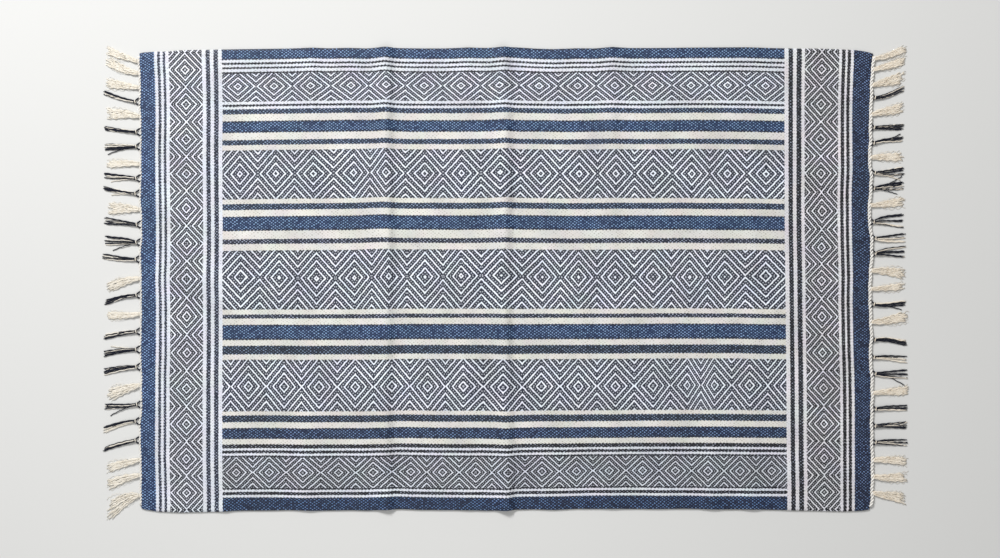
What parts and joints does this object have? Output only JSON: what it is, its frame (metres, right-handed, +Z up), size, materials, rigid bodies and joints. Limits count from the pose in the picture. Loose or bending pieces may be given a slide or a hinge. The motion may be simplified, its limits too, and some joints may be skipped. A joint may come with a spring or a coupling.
{
  "type": "dhurrie rug",
  "caption": "Flat-woven cotton rug with diamond twill bands, blue and cream stripes, a patterned border at each end and tassels along both short edges.",
  "frame": {"origin": "middle of the bounding box at floor level", "axes": "+X along the rug towards the right-hand tassels, +Y across it towards the back edge, +Z up"},
  "size_m": [1.3244, 0.7818, 0.0088],
  "materials": {
    "woven_cotton": "matt twill in blue, dark blue-grey, white and cream cotton",
    "fringe_yarn_left": "matt plied cotton yarn, cream and navy",
    "fringe_yarn_right": "matt plied cotton yarn, cream and navy"
  },
  "bodies": {
    "root": {"cloth": "woven_cotton", "fringe_left": "fringe_yarn_left", "fringe_right": "fringe_yarn_right"}
  },
  "joints": []
}
